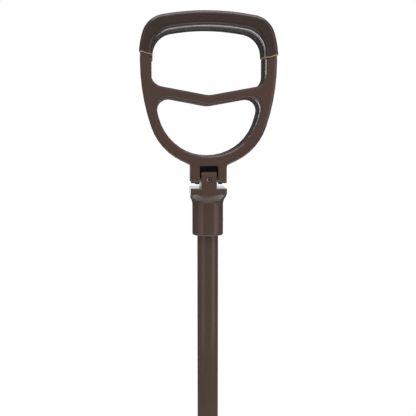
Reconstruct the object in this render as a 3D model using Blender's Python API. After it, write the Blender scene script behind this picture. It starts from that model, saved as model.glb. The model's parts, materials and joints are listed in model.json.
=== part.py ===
"""Walking stick seat: a stick whose handle is two hinged seat halves.

Metres, +Z up, the front half towards -Y. The origin is on the floor under the tube's axis.
"""

from math import acos, atan2, ceil, cos, pi, radians, sin, tan

import bmesh
import bpy
from mathutils import Matrix, Vector

# Fits
SEAT_GAP = 0.0003          # between pieces that seat on each other
TURN_GAP = 0.0003          # round the hinge pins

# Seat half, heights above its hinge pin
PIN_HEIGHT = 0.7087
HALF_WIDTH = 0.0702
REACH = 0.1709             # pin to the top of the bow
SIDE_TOP_DROP = 0.0343     # top of the bow to the upper end of the upright side
SIDE_BOTTOM = 0.0875       # lower end of the upright side
TOP_FALL = radians(9.3)    # slopes of the straight lines between the round stretches
SHOULDER_LEAN = radians(17.0)
FLANK_LEAN = radians(18.2)
BOW_RISE = radians(25.0)
TOP_RADIUS = 0.255
SHOULDER_RADIUS = 0.0240
SIDE_BOTTOM_ROUND = 4.28    # radius of the round there, in lengths of the upright side
HALF_DEPTH = 0.0215
HALVES_GAP = 0.0030        # between the mating faces when folded
FACE_ROUND = 0.0030
MATING_ROUND = 0.0020
WALL_DRAFT = radians(4.0)  # walls lean so that each bar is narrower at the mating face

# Hand opening
SIDE_BAR = 0.0110
TOP_BAR = 0.0122
HAND_TOP_RADIUS = 0.215
HAND_TOP_FALL = radians(10.3)
HAND_LOW_CORNER = 0.0130

# Crossbar
CROSSBAR_HEIGHT = 0.0820   # middle of the bar, at its lowest point
CROSSBAR_WIDTH = 0.0097
CROSSBAR_RISE = radians(10.4)
CROSSBAR_ROUND = 0.020

# Lower opening
LOOP_SIDE_BAR = 0.0127     # bar width at the lower end of the upright side
LOOP_LEAN = radians(14.5)
LOOP_CORNER = 0.0115
LOOP_BOTTOM = 0.0249

# Neck and ears
NECK_HALF_WIDTH = 0.0186
NECK_HEIGHT = 0.0150
NECK_FILLET = 0.0030
EAR_TAIL = 0.0120          # blank under the ears, cut away below
EAR_TAIL_CORNER = 0.0050
EAR_DROP = 0.0036          # ear's end below the pin
EAR_FRONT_ROUND = 0.0050
EAR_BACK_ROUND = 0.0030
EAR_INNER_ROUND = 0.0020   # lower corner beside the slot
SLOT_HALF_WIDTH = 0.00965
SLOT_CEILING = 0.0146
SLOT_CORNER = 0.0004
WEB_THICKNESS = 0.0020     # closes the back of the slot
WEB_DROP = 0.0020          # height of its lower edge

# Hinge
PIN_SETBACK = 0.0085       # front face to pin
PIN_RADIUS = 0.0020
PIN_END_RECESS = 0.0012
BUSH_RADIUS = 0.0048
BUSH_LENGTH = 0.0042
GRUB_RADIUS = 0.0025
GRUB_RECESS = 0.0008
GRUB_KEY = 0.0013          # half the key's width across flats
GRUB_KEY_DEPTH = 0.0020

# Leather sleeves, ends below the top of the bow
LEATHER = 0.0012           # outer surface of the leather above the casting
GRIP_LEFT_DROP = 0.0419
GRIP_RIGHT_DROP = 0.0447
GRIP_END_SLOPE = radians(10.0)

# Hub, heights below the pin
LUG_HALF_WIDTH = 0.00815
LUG_TOP = 0.0086
LUG_BACK = 0.0085
LUG_FRONT_ROUND = 0.0040
LUG_BACK_ROUND = 0.0080
LUG_EDGE = 0.0010
FLANGE_DROP = 0.0088
FLANGE_THICKNESS = 0.0062
FLANGE_HALF_WIDTH = 0.0189
FLANGE_CORNER = 0.0030
FLANGE_EDGE = 0.0012
FLARE_RADIUS = 0.0120      # fillet from the collar out to the flange's underside
FLARE_STEPS = 8
COLLAR_RADIUS = 0.0165
COLLAR_BOTTOM = 0.0600
COLLAR_EDGE = 0.0018
SOCKET_ROOF = 0.0260

# Tube and its rivets
TUBE_RADIUS = 0.0112
TUBE_WALL = 0.0016
TUBE_BOTTOM = 0.0920       # above the floor
RIVET_RADIUS = 0.0020
HUB_RIVET_DROP = 0.0440
FOOT_RIVET_HEIGHT = 0.1080

# Foot, heights above the floor
SOCKET_BOTTOM = 0.0650
SOCKET_LOW_RADIUS = 0.0100
PLUG_TOP = 0.1220
PLATE_RADIUS = 0.0390
PLATE_THICKNESS = 0.0025
PLATE_DISH = 0.0050        # the rim lies this much lower than the middle
PLATE_FLAT_RADIUS = 0.0160
WASHER_RADIUS = 0.0120
WASHER_THICKNESS = 0.0015
NUT_HALF_FLATS = 0.0085
NUT_THICKNESS = 0.0060
NUT_CORNER = 0.0006
NUT_EDGE = 0.0005
SPIKE_RADIUS = 0.0060
SPIKE_SHANK_RADIUS = 0.0040
SPIKE_TOP = 0.1020
SPIKE_POINT_TOP = 0.0330
SPIKE_TIP = 0.0122
SPIKE_TIP_RADIUS = 0.0007

# Ferrule, heights above the floor
FERRULE_TOP = 0.0460
FERRULE_BASE_RADIUS = 0.0165
FERRULE_NECK_RADIUS = 0.0105
FERRULE_WALL_START = 0.0100
FERRULE_FOOT_HEIGHT = 0.0080
FERRULE_EDGE = 0.0015
FERRULE_RIB_COUNT = 3
FERRULE_RIB_PITCH = 0.0050
FERRULE_RIB_HEIGHT = 0.0008
FERRULE_WASHER_THICKNESS = 0.0012

# Rounds and facets
WIDEST = None              # radius of a round that takes all the room beside it
ROUND_SPACING = 0.0008     # straight run left between such a round and the next one
OUTLINE_ERROR = 0.00015    # how far a chord may leave its arc
MERGE = 0.000001
EDGE_STEPS = 3
TURNED_STEPS = 36
SMALL_STEPS = 18
SMOOTH_ANGLE = radians(35.0)

# Derived places
SIDE_TOP = REACH - SIDE_TOP_DROP
SIDE_BOTTOM_RADIUS = (SIDE_TOP - SIDE_BOTTOM) * SIDE_BOTTOM_ROUND
PIN_DEPTH = HALVES_GAP / 2 + HALF_DEPTH - PIN_SETBACK   # pin to the plane between the halves
MATING_DEPTH = HALF_DEPTH - PIN_SETBACK                 # pin to the half's mating face
BUSH_INNER_END = SLOT_HALF_WIDTH + SEAT_GAP
BUSH_OUTER_END = BUSH_INNER_END + BUSH_LENGTH
PLATE_TOP = SOCKET_BOTTOM - SEAT_GAP
WASHER_TOP = PLATE_TOP - PLATE_THICKNESS - SEAT_GAP
NUT_TOP = WASHER_TOP - WASHER_THICKNESS - SEAT_GAP
SPIKE_SHOULDER = NUT_TOP - NUT_THICKNESS - SEAT_GAP


def linear_colour(code):
    """Linear RGBA from an sRGB hex code."""
    channels = [int(code[i:i + 2], 16) / 255 for i in (0, 2, 4)]
    return [c / 12.92 if c <= 0.04045 else ((c + 0.055) / 1.055) ** 2.4 for c in channels] + [1.0]


def finish(name, code, roughness, metallic=0.0):
    """A Principled material, made once and then shared."""
    material = bpy.data.materials.get(name)
    if material is None:
        material = bpy.data.materials.new(name)
        material.use_nodes = True
        shader = material.node_tree.nodes["Principled BSDF"]
        shader.inputs["Base Color"].default_value = linear_colour(code)
        shader.inputs["Roughness"].default_value = roughness
        shader.inputs["Metallic"].default_value = metallic
    return material


def brown_enamel():
    return finish("brown_enamel", "56403A", 0.35)


def brown_leather():
    return finish("brown_leather", "3F3432", 0.50)


def black_nylon():
    return finish("black_nylon", "1C1413", 0.55)


def bright_steel():
    return finish("bright_steel", "A8A6A2", 0.30, 1.0)


def black_rubber():
    return finish("black_rubber", "1B1A19", 0.80)


def axis_empty(name, place, turn=0.0):
    """The empty that stands on a joint's axis and carries what turns on it."""
    empty = bpy.data.objects.new(name, None)
    empty.location = place
    empty.rotation_euler = (0.0, 0.0, turn)
    bpy.context.collection.objects.link(empty)
    return empty


def make_object(name, bm, material=None, parent=None):
    """Turn a bmesh into a smooth-shaded object."""
    bmesh.ops.recalc_face_normals(bm, faces=bm.faces)
    if bm.calc_volume(signed=True) < 0:
        bmesh.ops.reverse_faces(bm, faces=bm.faces)
    mesh = bpy.data.meshes.new(name)
    bm.to_mesh(mesh)
    bm.free()
    mesh.shade_smooth()
    mesh.set_sharp_from_angle(angle=SMOOTH_ANGLE)
    piece = bpy.data.objects.new(name, mesh)
    if material is not None:
        mesh.materials.append(material)
    piece.parent = parent
    bpy.context.collection.objects.link(piece)
    return piece


def boolean(piece, tool, operation="DIFFERENCE"):
    """Cut with, or add, another object, which is then only a guide."""
    tool.hide_render = True
    tool.display_type = "WIRE"
    modifier = piece.modifiers.new(operation.title(), "BOOLEAN")
    modifier.operation = operation
    modifier.solver = "EXACT"
    modifier.object = tool


def meet(point_a, direction_a, point_b, direction_b):
    """Where two lines in a plane cross."""
    cross = direction_a[0] * direction_b[1] - direction_a[1] * direction_b[0]
    dx, dy = point_b[0] - point_a[0], point_b[1] - point_a[1]
    along = (dx * direction_b[1] - dy * direction_b[0]) / cross
    return (point_a[0] + direction_a[0] * along, point_a[1] + direction_a[1] * along)


def turn_at(corners, i):
    """Direction in which the outline arrives at a corner, and how far it turns there."""
    here = Vector(corners[i][:2])
    arriving = (here - Vector(corners[i - 1][:2])).normalized()
    leaving = (Vector(corners[(i + 1) % len(corners)][:2]) - here).normalized()
    return arriving, atan2(arriving.cross(leaving), arriving.dot(leaving))


def widest_round(corners, i):
    """Radius that fills the room that the rounds on both sides leave."""
    rooms = []
    for j in (i - 1, (i + 1) % len(corners)):
        room = (Vector(corners[j][:2]) - Vector(corners[i][:2])).length
        if corners[j][2] is WIDEST:
            room /= 2
        else:
            room -= corners[j][2] * tan(abs(turn_at(corners, j)[1]) / 2)
        rooms.append(room)
    return (min(rooms) - ROUND_SPACING) / tan(abs(turn_at(corners, i)[1]) / 2)


def rounded_outline(corners):
    """Closed anticlockwise outline from corners (u, v, radius): points with their outward normals."""
    outline = []
    for i, corner in enumerate(corners):
        arriving, turn = turn_at(corners, i)
        side = 1 if turn > 0 else -1
        radius = widest_round(corners, i) if corner[2] is WIDEST else corner[2]
        centre = Vector(corner[:2]) - arriving * radius * tan(abs(turn) / 2)
        centre += Vector((-arriving.y, arriving.x)) * side * radius
        step = min(radians(30.0), 2 * acos(1 - min(OUTLINE_ERROR / radius, 0.5)))
        count = max(1, ceil(abs(turn) / step))
        for k in range(count + 1):
            normal = Matrix.Rotation(turn * k / count, 2) @ Vector((arriving.y, -arriving.x))
            point = centre + normal * side * radius
            if not outline or (point - outline[-1][0]).length > MERGE:
                outline.append((point, normal))
    return outline


def skin(bm, rings):
    """Quads between rings of vertices that have the same count."""
    for lower, upper in zip(rings, rings[1:]):
        for i in range(len(lower)):
            bm.faces.new((lower[i - 1], lower[i], upper[i], upper[i - 1]))


def mirrored(right_side):
    """Full anticlockwise corner list from the right side's, which runs from the top to the bottom."""
    left_side = [(-u, v, r) for u, v, r in right_side if u > 0]
    return left_side + right_side[::-1]


def edge_levels(thickness, first_round, last_round, draft=0.0, start=0.0, inset=0.0):
    """Levels (depth, inset) of a wall with both edges rounded and its side leaning inwards."""
    levels = []
    for k in range(EDGE_STEPS + 1):
        angle = pi / 2 * k / EDGE_STEPS
        levels.append((start + first_round * (1 - cos(angle)), inset + first_round * (1 - sin(angle))))
    lean = (thickness - first_round - last_round) * tan(draft)
    for k in range(EDGE_STEPS + 1):
        angle = pi / 2 * k / EDGE_STEPS
        depth = start + thickness - last_round * (1 - sin(angle))
        levels.append((depth, inset + lean + last_round * (1 - cos(angle))))
    return levels


def plate(levels, place, outline, holes=()):
    """Solid between the first and last level, with rounded outlines; place maps (u, v, depth) to 3D."""
    bm = bmesh.new()
    for loop, sign in [(outline, -1)] + [(hole, 1) for hole in holes]:
        rings = []
        for depth, inset in levels:
            points = [point + normal * sign * inset for point, normal in loop]
            rings.append([bm.verts.new(place(point.x, point.y, depth)) for point in points])
        skin(bm, rings)
    near, far = place(0, 0, levels[0][0]), place(0, 0, levels[-1][0])
    rims = [edge for edge in bm.edges if edge.is_boundary]
    for end, other in ((near, far), (far, near)):
        along = (end - other).normalized()
        edges = [edge for edge in rims if abs((edge.verts[0].co - end).dot(along)) < MERGE]
        bmesh.ops.triangle_fill(bm, use_beauty=True, edges=edges)
    return bm


def upright(u, v, depth):
    """Outline in the XZ plane, depth along +Y."""
    return Vector((u, depth, v))


def sideways(u, v, depth):
    """Outline in the YZ plane, depth along +X."""
    return Vector((depth, u, v))


def flat(u, v, depth):
    """Outline in the XY plane, depth along +Z."""
    return Vector((u, v, depth))


def turned(profile, steps=TURNED_STEPS, axis="Z"):
    """Body of revolution from (radius, height) points, closed by itself unless it ends on the axis."""
    bm = bmesh.new()
    verts = [bm.verts.new((radius, 0.0, height)) for radius, height in profile]
    edges = [bm.edges.new(pair) for pair in zip(verts, verts[1:])]
    if profile[0][0] > 0 or profile[-1][0] > 0:
        edges.append(bm.edges.new((verts[-1], verts[0])))
    bmesh.ops.spin(bm, geom=verts + edges, cent=(0, 0, 0), axis=(0, 0, 1), angle=2 * pi, steps=steps,
                   use_merge=True)
    bmesh.ops.remove_doubles(bm, verts=bm.verts, dist=MERGE)
    if axis == "X":
        bmesh.ops.rotate(bm, verts=bm.verts, cent=(0, 0, 0), matrix=Matrix.Rotation(pi / 2, 3, "Y"))
    if axis == "Y":
        bmesh.ops.rotate(bm, verts=bm.verts, cent=(0, 0, 0), matrix=Matrix.Rotation(-pi / 2, 3, "X"))
    return bm


def rod_profile(radius, low, high, edge):
    """Profile of a solid rod with chamfered ends."""
    return [(0, low), (radius - edge, low), (radius, low + edge), (radius, high - edge),
            (radius - edge, high), (0, high)]


def ring_profile(inner, outer, low, high, edge):
    """Profile of a bored disc or sleeve with chamfered rims."""
    return [(inner, low), (outer - edge, low), (outer, low + edge), (outer, high - edge),
            (outer - edge, high), (inner, high)]


def moved(bm, offset):
    bmesh.ops.translate(bm, verts=bm.verts, vec=offset)
    return bm


def drill(piece, name, radius, low, high, axis, place, parent=None):
    """Cut a round hole from low to high along the axis through place."""
    bm = moved(turned([(0, low), (radius, low), (radius, high), (0, high)], SMALL_STEPS, axis), place)
    boolean(piece, make_object(name, bm, parent=parent))


def block(low, high):
    bm = bmesh.new()
    bmesh.ops.create_cube(bm, size=1.0)
    size = Vector(high) - Vector(low)
    bmesh.ops.scale(bm, verts=bm.verts, vec=size)
    return moved(bm, (Vector(high) + Vector(low)) / 2)


def frame_corners():
    """The half's outer outline with its neck."""
    top = (0, REACH + TOP_RADIUS * (1 / cos(TOP_FALL) - 1))
    side_top = (HALF_WIDTH, SIDE_TOP)
    side_bottom = (HALF_WIDTH, SIDE_BOTTOM)
    neck = (NECK_HALF_WIDTH, NECK_HEIGHT)
    shoulder = meet(top, (cos(TOP_FALL), -sin(TOP_FALL)), side_top, (-sin(SHOULDER_LEAN), cos(SHOULDER_LEAN)))
    bow = meet(side_bottom, (-sin(FLANK_LEAN), -cos(FLANK_LEAN)), neck, (cos(BOW_RISE), sin(BOW_RISE)))
    return mirrored([
        (*top, TOP_RADIUS), (*shoulder, SHOULDER_RADIUS), (*side_top, WIDEST),
        (*side_bottom, SIDE_BOTTOM_RADIUS), (*bow, WIDEST), (*neck, NECK_FILLET),
        (NECK_HALF_WIDTH, -EAR_TAIL, EAR_TAIL_CORNER)])


def hand_opening_corners():
    """The opening that the hand goes through, above the crossbar."""
    half_width = HALF_WIDTH - SIDE_BAR
    top = (0, REACH - TOP_BAR + HAND_TOP_RADIUS * (1 / cos(HAND_TOP_FALL) - 1))
    low = (0, CROSSBAR_HEIGHT + CROSSBAR_WIDTH / 2)
    upper = meet(top, (cos(HAND_TOP_FALL), -sin(HAND_TOP_FALL)), (half_width, 0), (0, 1))
    lower = meet(low, (cos(CROSSBAR_RISE), sin(CROSSBAR_RISE)), (half_width, 0), (0, 1))
    return mirrored([(*top, HAND_TOP_RADIUS), (*upper, WIDEST), (*lower, HAND_LOW_CORNER),
                     (*low, CROSSBAR_ROUND)])


def lower_opening_corners():
    """The half-moon opening between the crossbar and the neck."""
    top = (0, CROSSBAR_HEIGHT - CROSSBAR_WIDTH / 2)
    side = (HALF_WIDTH - LOOP_SIDE_BAR, SIDE_BOTTOM)
    lean = (sin(LOOP_LEAN), cos(LOOP_LEAN))
    upper = meet(top, (cos(CROSSBAR_RISE), sin(CROSSBAR_RISE)), side, lean)
    lower = meet((0, LOOP_BOTTOM), (1, 0), side, lean)
    return mirrored([(*top, CROSSBAR_ROUND), (*upper, LOOP_CORNER), (*lower, WIDEST)])


def half_levels(grow=0.0):
    """Levels of the half's section, from its front face to its mating face, grown by an offset."""
    return edge_levels(HALF_DEPTH + 2 * grow, FACE_ROUND + grow, MATING_ROUND + grow, WALL_DRAFT,
                       -PIN_SETBACK - grow, -grow)


def cut_ear_ends(frame, side, axis):
    """Cut away what lies below the rounded lower ends of the ears."""
    corner = EAR_BACK_ROUND / 10
    corners = [(-PIN_SETBACK, EAR_TAIL, corner), (-PIN_SETBACK, -EAR_DROP, EAR_FRONT_ROUND),
               (MATING_DEPTH, -EAR_DROP, EAR_BACK_ROUND), (MATING_DEPTH, EAR_TAIL, corner)]
    reach, width = 2 * EAR_TAIL, 2 * NECK_HALF_WIDTH
    kept = plate([(-2 * width, 0), (2 * width, 0)], sideways, rounded_outline(corners))
    waste = make_object("ear_waste_" + side, block((-width, -reach, -reach), (width, reach, EAR_TAIL / 2)),
                        parent=axis)
    boolean(waste, make_object("ear_ends_" + side, kept, parent=axis))
    boolean(frame, waste)


def slot_between_ears(ceiling, low, high):
    """Cutter from depth low to high, with the round that it leaves on each ear's lower corner."""
    reach = 2 * EAR_TAIL
    ear_end = -EAR_DROP - SEAT_GAP
    corners = mirrored([(SLOT_HALF_WIDTH, ceiling, SLOT_CORNER), (SLOT_HALF_WIDTH, ear_end, EAR_INNER_ROUND),
                        (reach, ear_end, SLOT_CORNER), (reach, -reach, SLOT_CORNER)])
    return plate([(low, 0), (high, 0)], upright, rounded_outline(corners))


def build_seat_frame(side, axis):
    """Cast half with its two openings, neck, slotted ears and bores."""
    bm = plate(half_levels(), upright, rounded_outline(frame_corners()),
               [rounded_outline(hand_opening_corners()), rounded_outline(lower_opening_corners())])
    frame = make_object("seat_frame_" + side, bm, brown_enamel(), axis)
    cut_ear_ends(frame, side, axis)
    past_face = 2 * HALF_DEPTH
    slot = slot_between_ears(SLOT_CEILING, -past_face, MATING_DEPTH - WEB_THICKNESS)
    boolean(frame, make_object("ear_slot_" + side, slot, parent=axis))
    boolean(frame, make_object("below_web_" + side, slot_between_ears(WEB_DROP, -past_face, past_face),
                               parent=axis))
    drill(frame, "pin_bore_" + side, PIN_RADIUS + TURN_GAP, -2 * NECK_HALF_WIDTH, 2 * NECK_HALF_WIDTH, "X",
          (0, 0, 0), axis)
    seat = BUSH_OUTER_END + SEAT_GAP
    drill(frame, "bush_bore_" + side, BUSH_RADIUS + SEAT_GAP, -seat, seat, "X", (0, 0, 0), axis)


def build_grip_leather(side, axis):
    """Sleeve of leather round the half's upper bow, open at its two ends."""
    opening = rounded_outline(hand_opening_corners())
    outline = rounded_outline(frame_corners())
    sleeve = make_object("grip_leather_" + side, plate(half_levels(LEATHER), upright, outline,
                                                       [opening]), brown_leather(), axis)
    far = 2 * HALF_WIDTH
    bar_middle = HALF_WIDTH - SIDE_BAR / 2
    rise, drop = (far - bar_middle) * tan(GRIP_END_SLOPE), bar_middle * tan(GRIP_END_SLOPE)
    left_end, right_end = REACH - GRIP_LEFT_DROP, REACH - GRIP_RIGHT_DROP
    corners = [(-far, -far), (far, -far), (far, right_end + rise), (0, right_end - drop),
               (0, left_end - drop), (-far, left_end + rise)]
    bm = bmesh.new()
    face = bm.faces.new([bm.verts.new((x, -far, z)) for x, z in corners])
    extruded = bmesh.ops.extrude_face_region(bm, geom=[face])["geom"]
    bmesh.ops.translate(bm, verts=[v for v in extruded if isinstance(v, bmesh.types.BMVert)],
                        vec=(0, 2 * far, 0))
    boolean(sleeve, make_object("grip_ends_" + side, bm, parent=axis))
    core = plate(half_levels(SEAT_GAP), upright, outline, [opening])
    boolean(sleeve, make_object("grip_core_" + side, core, parent=axis))


def build_hinge_parts(side, axis, turn):
    """Pin, its grub screw and the two bushes that the ears turn on."""
    length = NECK_HALF_WIDTH - PIN_END_RECESS
    pin = turned(rod_profile(PIN_RADIUS, -length, length, PIN_RADIUS / 5), SMALL_STEPS, "X")
    make_object("hinge_pin_" + side, pin, bright_steel(), axis)
    for name, hand in (("left", -1), ("right", 1)):
        profile = ring_profile(PIN_RADIUS + TURN_GAP, BUSH_RADIUS, BUSH_INNER_END, BUSH_OUTER_END,
                               BUSH_RADIUS / 16)
        profile = [(radius, hand * height) for radius, height in profile]
        hand_name = name if turn == 0 else {"left": "right", "right": "left"}[name]
        make_object("hinge_bush_" + side + "_" + hand_name, turned(profile, SMALL_STEPS, "X"),
                    black_nylon(), axis)
    low, high = PIN_RADIUS + SEAT_GAP, PIN_SETBACK - GRUB_RECESS
    screw = make_object("grub_screw_" + side, moved(turned(rod_profile(
        GRUB_RADIUS, low, high, GRUB_RADIUS / 6), SMALL_STEPS, "Y"), (0, -low - high, 0)),
        bright_steel(), axis)
    outline = rounded_outline(hexagon(GRUB_KEY, GRUB_KEY / 20))
    recess = plate([(-2 * PIN_SETBACK, 0), (-high + GRUB_KEY_DEPTH, 0)], upright, outline)
    boolean(screw, make_object("grub_key_" + side, recess, parent=axis))


def build_hinge_hub():
    """Lugs, flange, flared neck and collar in one casting, bored for the tube, pins and screws."""
    flare_top = -FLANGE_DROP - FLANGE_THICKNESS
    flare_reach = COLLAR_RADIUS + FLARE_RADIUS
    profile = [(0, FLANGE_DROP), (flare_reach, FLANGE_DROP)]
    for k in range(FLARE_STEPS + 1):
        angle = pi / 2 * k / FLARE_STEPS
        profile.append((flare_reach - FLARE_RADIUS * sin(angle), flare_top - FLARE_RADIUS * (1 - cos(angle))))
    for k in range(EDGE_STEPS + 1):
        angle = pi / 2 * k / EDGE_STEPS
        profile.append((COLLAR_RADIUS - COLLAR_EDGE * (1 - cos(angle)),
                        -COLLAR_BOTTOM + COLLAR_EDGE * (1 - sin(angle))))
    profile.append((0, -COLLAR_BOTTOM))
    hub = make_object("hinge_hub", moved(turned(profile), (0, 0, PIN_HEIGHT)), brown_enamel())
    front = PIN_DEPTH + PIN_SETBACK
    corners = [(-FLANGE_HALF_WIDTH, -front, FLANGE_CORNER), (FLANGE_HALF_WIDTH, -front, FLANGE_CORNER),
               (FLANGE_HALF_WIDTH, front, FLANGE_CORNER), (-FLANGE_HALF_WIDTH, front, FLANGE_CORNER)]
    levels = [(-depth, inset) for depth, inset in edge_levels(2 * COLLAR_BOTTOM, FLANGE_EDGE, FLANGE_EDGE,
                                                              0.0, FLANGE_DROP)]
    sides = moved(plate(levels, flat, rounded_outline(corners)), (0, 0, PIN_HEIGHT))
    boolean(hub, make_object("flange_sides", sides), "INTERSECT")
    root = FLANGE_DROP + FLANGE_THICKNESS / 2
    corners = [(-PIN_SETBACK, LUG_TOP, LUG_FRONT_ROUND), (-PIN_SETBACK, -root, LUG_EDGE * 2),
               (LUG_BACK, -root, LUG_EDGE * 2), (LUG_BACK, LUG_TOP, LUG_BACK_ROUND)]
    levels = edge_levels(2 * LUG_HALF_WIDTH, LUG_EDGE, LUG_EDGE, 0.0, -LUG_HALF_WIDTH)
    for side, hand in (("front", -1), ("rear", 1)):
        lug = plate(levels, sideways, rounded_outline(corners))
        if hand > 0:
            bmesh.ops.rotate(lug, verts=lug.verts, cent=(0, 0, 0), matrix=Matrix.Rotation(pi, 3, "Z"))
        place = (0, hand * PIN_DEPTH, PIN_HEIGHT)
        boolean(hub, make_object("lug_" + side, moved(lug, place)), "UNION")
    for side, hand in (("front", -1), ("rear", 1)):
        place = (0, hand * PIN_DEPTH, PIN_HEIGHT)
        drill(hub, "lug_pin_bore_" + side, PIN_RADIUS + SEAT_GAP, -2 * LUG_HALF_WIDTH, 2 * LUG_HALF_WIDTH,
              "X", place)
        low, high = sorted((0, hand * 2 * PIN_SETBACK))
        drill(hub, "lug_screw_bore_" + side, GRUB_RADIUS + SEAT_GAP, low, high, "Y", place)
    drill(hub, "tube_socket", TUBE_RADIUS + SEAT_GAP, -2 * COLLAR_BOTTOM, -SOCKET_ROOF, "Z",
          (0, 0, PIN_HEIGHT))
    reach = 2 * COLLAR_RADIUS
    drill(hub, "hub_rivet_bore", RIVET_RADIUS + SEAT_GAP, -reach, reach, "X",
          (0, 0, PIN_HEIGHT - HUB_RIVET_DROP))


def build_tube():
    """Round tube, cross-drilled for both rivets."""
    top = PIN_HEIGHT - SOCKET_ROOF - SEAT_GAP
    profile = ring_profile(TUBE_RADIUS - TUBE_WALL, TUBE_RADIUS, TUBE_BOTTOM, top, TUBE_WALL / 4)
    tube = make_object("tube", turned(profile), brown_enamel())
    for name, height in (("tube_hole_upper", PIN_HEIGHT - HUB_RIVET_DROP),
                         ("tube_hole_lower", FOOT_RIVET_HEIGHT)):
        drill(tube, name, RIVET_RADIUS + SEAT_GAP, -2 * TUBE_RADIUS, 2 * TUBE_RADIUS, "X", (0, 0, height))


def build_rivets():
    """Cross rivets, ends flush with what they go through."""
    for name, length, height in (("hub_rivet", COLLAR_RADIUS, PIN_HEIGHT - HUB_RIVET_DROP),
                                 ("foot_rivet", TUBE_RADIUS, FOOT_RIVET_HEIGHT)):
        rivet = turned(rod_profile(RIVET_RADIUS, -length, length, RIVET_RADIUS / 5), SMALL_STEPS, "X")
        make_object(name, moved(rivet, (0, 0, height)), brown_enamel())


def build_foot_socket():
    """Turned socket that plugs the tube and takes the spike's shank."""
    plug = TUBE_RADIUS - TUBE_WALL - SEAT_GAP
    shoulder = TUBE_BOTTOM - SEAT_GAP
    bore = SPIKE_SHANK_RADIUS + SEAT_GAP
    bore_top = SPIKE_TOP + SEAT_GAP
    edge = TUBE_WALL / 2
    profile = [(0, bore_top), (bore, bore_top), (bore, SOCKET_BOTTOM),
               (SOCKET_LOW_RADIUS - edge, SOCKET_BOTTOM),
               (SOCKET_LOW_RADIUS, SOCKET_BOTTOM + edge), (TUBE_RADIUS, shoulder - TUBE_RADIUS / 2),
               (TUBE_RADIUS, shoulder), (plug, shoulder), (plug, PLUG_TOP - edge), (plug - edge, PLUG_TOP),
               (0, PLUG_TOP)]
    socket = make_object("foot_socket", turned(profile), brown_enamel())
    drill(socket, "plug_hole", RIVET_RADIUS + SEAT_GAP, -2 * TUBE_RADIUS, 2 * TUBE_RADIUS, "X",
          (0, 0, FOOT_RIVET_HEIGHT))


def build_ground_plate():
    """Dished disc that rests on soft ground."""
    bore = SPIKE_SHANK_RADIUS + SEAT_GAP
    high = PLATE_TOP
    low = high - PLATE_THICKNESS
    edge = PLATE_THICKNESS / 3
    profile = [(bore, low), (PLATE_FLAT_RADIUS, low), (PLATE_RADIUS - edge, low - PLATE_DISH),
               (PLATE_RADIUS, low - PLATE_DISH + edge), (PLATE_RADIUS, high - PLATE_DISH - edge),
               (PLATE_RADIUS - edge, high - PLATE_DISH), (PLATE_FLAT_RADIUS, high), (bore, high)]
    make_object("ground_plate", turned(profile), brown_enamel())


def hexagon(half_flats, corner_radius):
    """Corners of a hexagon from half its width across flats."""
    reach = half_flats / cos(pi / 6)
    return [(reach * cos(k * pi / 3), reach * sin(k * pi / 3), corner_radius) for k in range(6)]


def build_plate_fasteners():
    """Washer and hex nut that hold the ground plate up against the socket."""
    bore = SPIKE_SHANK_RADIUS + SEAT_GAP
    washer = ring_profile(bore, WASHER_RADIUS, WASHER_TOP - WASHER_THICKNESS, WASHER_TOP,
                          WASHER_THICKNESS / 4)
    make_object("plate_washer", turned(washer, SMALL_STEPS * 2), bright_steel())
    low = NUT_TOP - NUT_THICKNESS
    levels = [(low, NUT_EDGE), (low + NUT_EDGE, 0), (NUT_TOP - NUT_EDGE, 0), (NUT_TOP, NUT_EDGE)]
    outline = rounded_outline(hexagon(NUT_HALF_FLATS, NUT_CORNER))
    nut = make_object("plate_nut", plate(levels, flat, outline), bright_steel())
    drill(nut, "nut_bore", bore, -NUT_THICKNESS, 2 * NUT_THICKNESS, "Z", (0, 0, low))


def build_spike():
    """Steel spike with a plain shank that goes up into the socket."""
    edge = SPIKE_SHANK_RADIUS / 6
    profile = [(0, SPIKE_TIP), (SPIKE_TIP_RADIUS, SPIKE_TIP + SPIKE_TIP_RADIUS),
               (SPIKE_RADIUS, SPIKE_POINT_TOP),
               (SPIKE_RADIUS, SPIKE_SHOULDER - edge), (SPIKE_RADIUS - edge, SPIKE_SHOULDER),
               (SPIKE_SHANK_RADIUS, SPIKE_SHOULDER), (SPIKE_SHANK_RADIUS, SPIKE_TOP - edge),
               (SPIKE_SHANK_RADIUS - edge, SPIKE_TOP), (0, SPIKE_TOP)]
    make_object("spike", turned(profile, SMALL_STEPS), bright_steel())


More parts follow.
